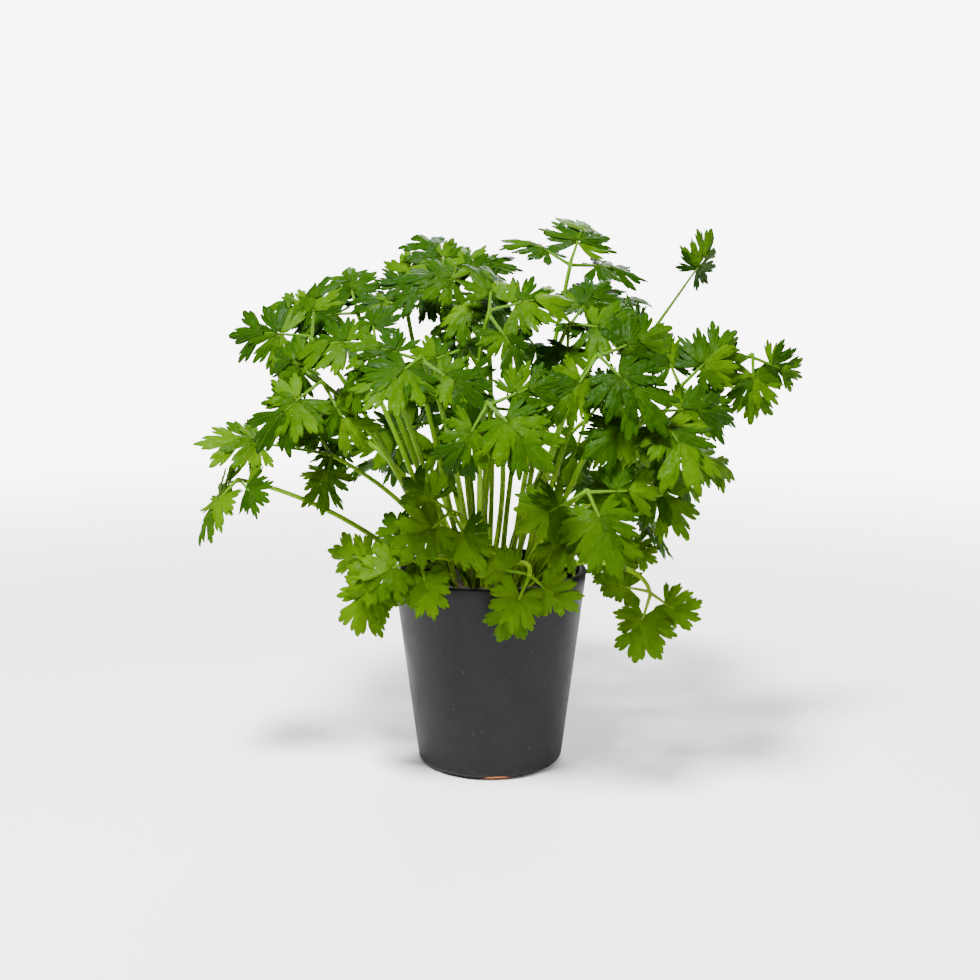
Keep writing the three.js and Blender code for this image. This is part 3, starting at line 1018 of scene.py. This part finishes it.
    def grown(self, row: Row, index: int, node: str) -> Frond:
        """The frond whose solid fills the same box as the node, found among the attempts.

        Args:
            row: Its row.
            index: Its number, from 0.
            node: The name of its solid.

        Returns:
            The frond that misses the box by least. The box's foot isn't compared.
        """
        low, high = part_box(node)
        box = np.array([*low, *high]) / MM
        most = self.miss_limit * self.stalk_foot_radius
        lowest_z = 2
        best, nearest = None, math.inf
        for attempt in range(self.bend_tries):
            frond = self.frond(row, index, attempt)
            off = np.minimum(np.abs(self.solid_box(frond) - box), most)
            miss = float(np.delete(off, lowest_z).sum())
            if miss < nearest:
                best, nearest = frond, miss
            if miss < self.miss_allowed:
                break
        LOG.info("%s follows its solid to %.2f mm", node, nearest)
        return best


# The pieces


@dataclass(frozen=True)
class LeafletCut:
    """The outline of one fan-shaped leaflet as a radius that changes with the angle.

    x runs from -1 to 1 across the fan. Three lobes lie between the marks in lobes and three teeth in
    each. With s from 0 to 1 inside a lobe or a tooth, b(s) = 1 - sin(pi s)^roundness, and
    r = L (1 - flatness x^2) (1 - D(s) b(lobe s)) (1 - d b(tooth s)), where D goes from one lobe's
    depth mark to the next.
    """

    lobes: tuple[float, ...] = (-1.0, -0.36, 0.36, 1.0)
    lobe_depths: tuple[float, ...] = (0.58, 0.52, 0.52, 0.58)
    deepest: float = 0.85
    tooth_depth: float = 0.2
    lobe_teeth: int = 3
    roundness: float = 0.55
    flatness: float = 0.15
    lobe_sway: Sway = Sway(0.06, step=0.91)
    depth_sway: Sway = Sway(0.2, shift=9, step=0.53)
    tooth_sway: Sway = Sway(0.3, step=1.7)
    length_sway: Sway = Sway(0.08, step=3.1)
    samples: int = 5
    rings: tuple[float, ...] = (0.05, 0.3, 0.55, 0.76, 0.91, 1.0)

    @property
    def teeth(self) -> int:
        """How many teeth the fan has."""
        return self.lobe_teeth * (len(self.lobes) - 1)

    def bay(self, share: Array) -> Array:
        """How deep a bay is at a share of the way from one bay to the next: b(s)."""
        return 1 - np.sin(np.pi * share).clip(0, 1) ** self.roundness

    def outline(self, seed: float, cut: float) -> tuple[Array, Array, Array]:
        """One outline.

        Args:
            seed: What makes it differ a little from the others.
            cut: How deep its lobes and teeth are, as a share of the usual.

        Returns:
            x across the fan, the radius as a share of its length, and the place in the teeth.
        """
        marks = np.arange(len(self.lobes))
        lobes = np.array(self.lobes) + self.lobe_sway.at(seed, marks) * (np.abs(self.lobes) < 1)
        depths = np.array(self.lobe_depths) * (1 + self.depth_sway.at(seed, marks))
        tooth = np.append(np.repeat(np.arange(self.teeth), self.samples), self.teeth - 1)
        s = np.append(np.tile(np.arange(self.samples) / self.samples, self.teeth), 1.0)
        s = (1 - np.cos(np.pi * s)) / 2
        lobe = tooth // self.lobe_teeth
        in_lobe = (tooth % self.lobe_teeth + s) / self.lobe_teeth
        x = lobes[lobe] * (1 - in_lobe) + lobes[lobe + 1] * in_lobe
        depth = depths[lobe] * (1 - in_lobe) + depths[lobe + 1] * in_lobe
        tooth_depth = self.tooth_depth * cut * (1 + self.tooth_sway.at(seed, tooth))
        lobed = 1 - (depth * cut).clip(0, self.deepest) * self.bay(in_lobe)
        radius = (1 - self.flatness * x * x) * lobed * (1 - tooth_depth * self.bay(s))
        return x, radius * (1 + self.length_sway.at(seed, lobe)), tooth + s


class Side(Enum):
    """The two faces of a blade."""

    UPPER = 1
    UNDER = -1


class FrondPart(IntEnum):
    """The two parts of a frond, numbered as its materials are."""

    LEAF = 0
    STALK = 1


@dataclass(frozen=True)
class LeafletPlace:
    """Where one leaflet sits on its leaf's rib, with lengths as shares of the leaf's length."""

    aim: float
    base: float
    length: float
    spread: float
    lift: float


@dataclass
class Fronds:
    """All the fronds: ribbed stalks, thin leaf stalks, and leaves of five cut, toothed leaflets."""

    rule: GrowingRule
    leaflet: LeafletCut = field(default_factory=LeafletCut)
    stalk_sides: int = 12
    stalk_steps: int = 22
    stalk_tone: float = 1.0
    twig_sides: int = 8
    twig_steps: int = 9
    twig_end: float = 0.31
    twig_radii: Pair = (1.2, 0.6)
    twig_drop: float = 0.25
    twig_tone: float = 0.3
    blade_thick: float = 0.38
    edge_thick: float = 0.2
    map_reach: float = 0.499
    leaflets: tuple[LeafletPlace, ...] = (
        LeafletPlace(-82, 0.0, 0.57, 55, 0.0),
        LeafletPlace(82, 0.0, 0.57, 55, 0.0),
        LeafletPlace(-48, 0.05, 0.68, 50, 0.014),
        LeafletPlace(48, 0.05, 0.68, 50, 0.014),
        LeafletPlace(0, 0.27, 0.75, 55, 0.026),
    )
    leaf_seed: float = 1.37
    leaflet_seed: float = 11.3
    tone_seed: float = 3
    spread_sway: Sway = Sway(0.08, shift=5)
    aim_sway: Sway = Sway(6, shift=6)
    length_sway: Sway = Sway(0.08, shift=7)
    ripple: float = 0.022
    waves: tuple[Row, ...] = ((1.0, 9, 7, 7), (0.6, 15, -11, 3))
    bulge: float = 0.04
    cup: float = 0.07
    cup_power: float = 1.5
    curl: Sway = Sway(0.1, shift=8)
    tilt: Sway = Sway(0.16, shift=4)
    cut_range: Pair = (0.78, 1.15)
    cut_heights: Pair = (115, 205)

    def leaflet_plan(self, at: LeafletPlace, seed: float, cut: float) -> tuple[Array, ...]:
        """One leaflet laid out flat in its leaf's own plan.

        Args:
            at: Where it sits on the leaf.
            seed: What makes it differ from the others.
            cut: How deep its teeth are.

        Returns:
            u, v, x across the fan, the distance out as a share of the fan's longest, the share of the
            way out, and the place in the teeth, as grids.
        """
        x, radius, tooth = self.leaflet.outline(seed, cut)
        out = np.array(self.leaflet.rings)[None, :]
        spread = at.spread * (1 + self.spread_sway.at(seed))
        aim = at.aim + self.aim_sway.at(seed)
        length = at.length * (1 + self.length_sway.at(seed))
        angle = np.radians(aim + spread * x)[:, None]
        far = out * radius[:, None]
        u = at.base + length * far * np.cos(angle)
        v = length * far * np.sin(angle)
        return u, v, x[:, None] + 0 * out, far, out + 0 * far, tooth[:, None] + 0 * out

    def blade(self, skin: Skin, leaf: Leaf, at: LeafletPlace, seed: float, cut: float) -> None:
        """Adds one leaflet as a closed thin blade that follows its leaf's bend and fold.

        lift = L (its own lift + ripple w f + bulge |sin(pi lobe)| f^2 - cup |x|^cup_power f + curl f^3
        + tilt x f) +- half the thickness, where f is the distance out and w the sum of the waves.
        Each wave is its first number times sin(its second x + its third f + its last seed).

        Args:
            skin: What it is added to.
            leaf: The leaf that bears it.
            at: Where it sits on the leaf.
            seed: What makes it differ from the others.
            cut: How deep its teeth are.
        """
        u, v, x, far, out, tooth = self.leaflet_plan(at, seed, cut)
        wave = sum(size * np.sin(a * x + b * far + seed * c) for size, a, b, c in self.waves)
        lobe = np.abs(np.sin(np.pi * tooth / self.leaflet.lobe_teeth))
        wave = self.ripple * wave * far + self.bulge * lobe * far**2
        curl = self.curl.at(seed) * far**3 + self.tilt.at(seed) * x * far
        cup = self.cup * np.abs(x) ** self.cup_power * far
        lift = (at.lift + at.length * (wave - cup + curl)) * leaf.length
        half = (self.blade_thick + (self.edge_thick - self.blade_thick) * out**3) / 2
        clouds, maps = [], []
        for side in Side:
            points = self.rule.leaf_points(leaf, u, v, lift + side.value * half)
            clouds.append(points.reshape(-1, 3))
            start = 0.0 if side is Side.UPPER else 0.5
            place = (tooth / self.leaflet.teeth, start + self.map_reach * out)
            maps.append(np.stack(place, -1).reshape(-1, 2))
        tone = float(draw(seed + self.tone_seed))
        faces = sheet_faces(*u.shape)
        skin.add(np.concatenate(clouds), faces, np.concatenate(maps), FrondPart.LEAF, tone)

    def leaf(self, skin: Skin, leaf: Leaf, cut: float) -> None:
        """Adds one leaf: its own stalk and its leaflets.

        Args:
            skin: What it is added to.
            leaf: The leaf.
            cut: How deep its teeth are.
        """
        u = np.linspace(-leaf.stalk, self.twig_end, self.twig_steps)
        line = self.rule.leaf_points(leaf, u, 0 * u, 0 * u - self.twig_drop)
        radii = np.linspace(*self.twig_radii, self.twig_steps)
        tube(skin, line, radii, self.twig_sides, FrondPart.STALK, self.twig_tone)
        for k, at in enumerate(self.leaflets):
            seed = leaf.seed * self.leaf_seed + k * self.leaflet_seed
            self.blade(skin, leaf, at, seed, cut)

    def build_one(self, frond: Frond, node: str, materials: list[bpy.types.Material]) -> int:
        """Builds one frond in place of its node.

        Args:
            frond: Where and how it grows.
            node: The name of the solid that it stands for.
            materials: The leaf and the stalk finish.

        Returns:
            How many triangles it has.
        """
        skin = Skin()
        line = self.rule.stalk(frond, self.stalk_steps)
        share = np.linspace(0, 1, len(line))
        foot, hub = self.rule.stalk_foot_radius, self.rule.stalk_hub_radius
        radii = foot + (hub - foot) * share
        tube(skin, line, radii, self.stalk_sides, FrondPart.STALK, self.stalk_tone)
        low, high = self.cut_range
        cut = low + (high - low) * float(smooth(frond.hub[2], *self.cut_heights))
        for leaf in self.rule.leaves(frond):
            self.leaf(skin, leaf, cut)
        made = skin.build(f"grown_{node}", materials)
        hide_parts(node)
        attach(made, "root")
        return skin.triangles()

    def build(self) -> None:
        """Builds every frond."""
        materials = [LeafFinish(self.leaflet.teeth).build(), StalkFinish().build()]
        total = 0
        for index, row in enumerate(self.rule.rows()):
            node = f"frond_{index + 1:02d}"
            total += self.build_one(self.rule.grown(row, index, node), node, materials)
        LOG.info("fronds: %d triangles", total)


@dataclass
class Pot:
    """The pot: a smooth straight taper with a rounded foot and a softly rounded lip."""

    rim_radius: float = 60
    base_radius: float = 45.6
    height: float = 122
    wall: float = 4.5
    floor: float = 8
    foot_round: float = 5
    foot_steps: int = 9
    lip_round: float = 1.6
    lip_steps: int = 6
    floor_ring: float = 20
    pole: float = 0.01
    sides: int = 144
    wall_steps: int = 24

    def inner_radius(self, z: float) -> float:
        """The inner radius at a height."""
        return self.base_radius - self.wall + (self.rim_radius - self.base_radius) * z / self.height

    def profile(self) -> Array:
        """The pot's section, from the middle of the base, up the outside, and down the inside.

        Each round is a quarter circle: its middle plus its radius times (cos, sin) of the angle.

        Returns:
            Radius and height of each point, n by 2.
        """
        a = np.radians(np.linspace(0, 90, self.foot_steps))
        foot = np.stack([
            self.base_radius - self.foot_round * (1 - np.sin(a)),
            self.foot_round * (1 - np.cos(a)),
        ], -1)
        inner = self.rim_radius - self.wall
        b = np.radians(np.linspace(0, 90, self.lip_steps))
        outer_lip = np.stack([
            self.rim_radius - self.lip_round * (1 - np.cos(b)),
            self.height - self.lip_round * (1 - np.sin(b)),
        ], -1)
        inner_lip = np.stack([
            inner + self.lip_round * (1 - np.sin(b)),
            self.height - self.lip_round * (1 - np.cos(b)),
        ], -1)
        share = np.linspace(0, 1, self.wall_steps)[1:-1, None]
        up = foot[-1] + (outer_lip[0] - foot[-1]) * share
        bottom = np.array([self.inner_radius(self.floor), self.floor])
        down = inner_lip[-1] + (bottom - inner_lip[-1]) * share
        under = [[self.pole, 0.0], [self.floor_ring, 0.0]]
        over = [bottom, [self.floor_ring, self.floor], [self.pole, self.floor]]
        return np.concatenate([under, foot, up, outer_lip, inner_lip, down, over])

    def build(self) -> None:
        """Turns the profile about Z in place of the pot's solid."""
        profile = self.profile()
        rows = len(profile)
        skin = Skin()
        points = turned(profile, self.sides)
        skin.add(points, closed_faces(rows, self.sides), ring_map(rows, self.sides))
        made = skin.build("turned_pot", [ClayFinish().build()])
        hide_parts("pot")
        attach(made, "root")
        LOG.info("pot: %d triangles", skin.triangles())


@dataclass
class Soil:
    """The soil: a crumbly surface with a low crown, kept clear of the pot's wall."""

    pot: Pot
    rule: GrowingRule
    crown_place: Pair = (0.55, 0.7)
    sides: int = 220
    rings: int = 64
    top_pole: float = 0.004
    floor_pole: float = 0.2
    crumb: float = 0.9
    crumb_sizes: tuple[float, ...] = (1.7, 2.9, 5.3)
    field_turn: float = 1.1
    first_turn: float = 0.4
    sway: float = 2.1
    sway_length: float = 1.9
    across_rate: float = 1.3
    field_share: float = 0.5
    rim_fade: float = 0.06

    def lumps(self, x: Array, y: Array) -> Array:
        """How the crumbs rise and fall: three sine fields, each turned from the last.

        With p along and q across a field of size c, it is
        sin(p / c + sway sin(q / c / sway_length)) sin(across_rate q / c + cos(p / c)).

        Args:
            x: Places along X, in millimetres.
            y: Places along Y.

        Returns:
            The sum of the fields at each place.
        """
        lumps = np.zeros_like(x)
        for step, size in enumerate(self.crumb_sizes):
            a = self.field_turn * step + self.first_turn
            along = x * math.cos(a) + y * math.sin(a)
            across = y * math.cos(a) - x * math.sin(a)
            bend = self.sway * np.sin(across / size / self.sway_length)
            ridges = np.sin(across / size * self.across_rate + np.cos(along / size))
            lumps = lumps + np.sin(along / size + bend) * ridges
        return lumps

    def build(self) -> None:
        """Builds it in place of the soil's solid.

        height = top + a straight-sided crown + crumb * lumps * field_share, faded out at the rim.
        """
        gap = self.rule.fit_gap
        outer = self.pot.inner_radius(self.rule.soil_top) - gap
        share = np.linspace(1, self.top_pole, self.rings)
        turn = np.linspace(0, 2 * np.pi, self.sides, endpoint=False)
        radius = (share * outer)[:, None] + 0 * turn[None]
        x, y = radius * np.cos(turn), radius * np.sin(turn)
        place, rise = self.crown_place
        levels = (self.rule.soil_crown, rise * self.rule.soil_crown, 0)
        crown = np.interp(share, (0, place, 1), levels)[:, None]
        fade = smooth(1 - share, 0, self.rim_fade)[:, None]
        crumbs = self.crumb * self.lumps(x, y) * self.field_share * fade
        height = self.rule.soil_top + crown + crumbs
        upper = np.stack([x, y, height], -1).reshape(-1, 3)
        floor = self.pot.floor + gap
        low = self.pot.inner_radius(floor) - gap
        under = turned(np.array([[self.floor_pole, floor], [low, floor]]), self.sides)
        rows = self.rings + 2
        points = np.concatenate([under, upper])
        skin = Skin()
        skin.add(points, closed_faces(rows, self.sides), ring_map(rows, self.sides))
        made = skin.build("crumbly_soil", [SoilFinish().build()])
        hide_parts("soil")
        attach(made, "root")
        LOG.info("soil: %d triangles", skin.triangles())


@dataclass(frozen=True)
class Lamp:
    """A soft square lamp that looks at a point on the plant's axis."""

    name: str
    place: Point
    size: float
    power: float
    aim: Point = (0.0, 0.0, 0.17)

    def build(self) -> None:
        """Adds it to the scene."""
        light = bpy.data.lights.new(self.name, "AREA")
        light.size = self.size
        light.energy = self.power
        made = bpy.data.objects.new(self.name, light)
        made.location = self.place
        away = np.array(self.place) - np.array(self.aim)
        flat = math.hypot(away[0], away[1])
        made.rotation_euler = (math.atan2(flat, away[2]), 0, math.atan2(away[0], -away[1]))
        bpy.context.scene.collection.objects.link(made)


@dataclass(frozen=True)
class Studio:
    """A white floor that runs into a white sweep, soft lamps, a pale sky and the photograph's camera."""

    floor_half: float = 12.0
    floor_drop: float = 0.0004
    floor_colour: Colour = (0.9, 0.9, 0.9, 1)
    floor_rough: float = 0.9
    floor_specular: float = 0.2
    sweep_radii: tuple[float, ...] = (0.3, 0.6, 1.0, 1.5, 2.2, 3.2, 4.2, 4.8, 5.0, 5.0)
    sweep_heights: tuple[float, ...] = (-0.0002, 0.0, 0.0, 0.0, 0.0, 0.0, 0.1, 0.4, 1.0, 4.0)
    sweep_sides: int = 96
    sweep_fade: Pair = (0.35, 1.6)
    sweep_glow: float = 8.0
    white: Colour = (1, 1, 1, 1)
    surround: float = 0.27
    camera_place: Point = (0.0, -0.8, 0.3046)
    camera_pitch: float = 0.166
    lens: float = 48.34
    sensor: float = 36
    farthest: float = 100
    lamps: tuple[Lamp, ...] = (
        Lamp("key", (-0.3, -0.5, 1.35), 0.3, 86),
        Lamp("back", (0.3, 1.6, 0.9), 1.2, 60),
        Lamp("fill", (0.9, -0.9, 0.6), 0.9, 3),
        Lamp("left strip", (-0.95, 0.25, 0.3), 0.5, 1.6),
        Lamp("right strip", (0.95, 0.2, 0.3), 0.5, 5),
    )

    def floor(self) -> bpy.types.Object:
        """A flat white floor.

        Returns:
            The floor.
        """
        h = self.floor_half
        mesh = bpy.data.meshes.new("floor")
        mesh.from_pydata([(-h, -h, 0), (h, -h, 0), (h, h, 0), (-h, h, 0)], [], [(0, 1, 2, 3)])
        s = Shader("floor")
        values = {"Roughness": self.floor_rough, "Specular IOR Level": self.floor_specular}
        mesh.materials.append(s.finish(s.surface(self.floor_colour, values)))
        made = bpy.data.objects.new("floor", mesh)
        made.location = (0, 0, -self.floor_drop)
        bpy.context.scene.collection.objects.link(made)
        return made

    def sweep(self) -> bpy.types.Object:
        """A white sweep all round that fades in over the floor and lights nothing.

        Returns:
            The sweep.
        """
        s = Shader("sweep")
        x, y, _ = s.split(s.place())
        share = (x * x + y * y).maths("POWER", 0.5).rise(*self.sweep_fade)
        clear = s.node("ShaderNodeBsdfTransparent")
        values = {"Color": self.white, "Strength": self.sweep_glow}
        glow = s.node("ShaderNodeEmission", values=values)
        values = {0: share, 1: clear.outputs[0], 2: glow.outputs[0]}
        blend = s.node("ShaderNodeMixShader", values=values)
        profile = np.stack([self.sweep_radii, self.sweep_heights], -1)
        points = turned(profile, self.sweep_sides) / MM
        faces = grid_faces(len(profile), self.sweep_sides, True)
        skin = Skin()
        skin.add(points, faces, np.zeros((len(points), 2)))
        made = skin.build("sweep", [s.finish(blend)])
        made.visible_diffuse = False
        made.visible_glossy = False
        made.visible_transmission = False
        made.visible_shadow = False
        return made

    def build(self) -> None:
        """Adds everything that isn't part of the object."""
        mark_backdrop(self.floor(), self.sweep())
        for lamp in self.lamps:
            lamp.build()
        world = bpy.data.worlds.new("surround")
        world.use_nodes = True
        sky = world.node_tree.nodes["Background"]
        sky.inputs["Color"].default_value = self.white
        sky.inputs["Strength"].default_value = self.surround
        bpy.context.scene.world = world
        camera = bpy.data.objects.new("camera", bpy.data.cameras.new("camera"))
        camera.data.lens = self.lens
        camera.data.sensor_width = self.sensor
        camera.data.clip_end = self.farthest
        camera.data.dof.use_dof = False
        camera.location = self.camera_place
        camera.rotation_euler = (math.pi / 2 - self.camera_pitch, 0, 0)
        bpy.context.scene.collection.objects.link(camera)
        bpy.context.scene.camera = camera


def corners() -> list[list[float]]:
    """The lowest and highest corner of what shows, as plain lists."""
    return [[float(value) for value in corner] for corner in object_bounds()]


def main() -> None:
    """Builds the pot, the soil, the fronds and the studio."""
    logging.basicConfig(level=logging.INFO, format="%(name)s: %(message)s")
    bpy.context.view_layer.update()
    pot, rule = Pot(), GrowingRule()
    for piece in (pot, Soil(pot, rule), Fronds(rule), Studio()):
        piece.build()
        LOG.info("built %s", type(piece).__name__)
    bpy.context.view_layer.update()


if __name__ == "__main__":
    main()
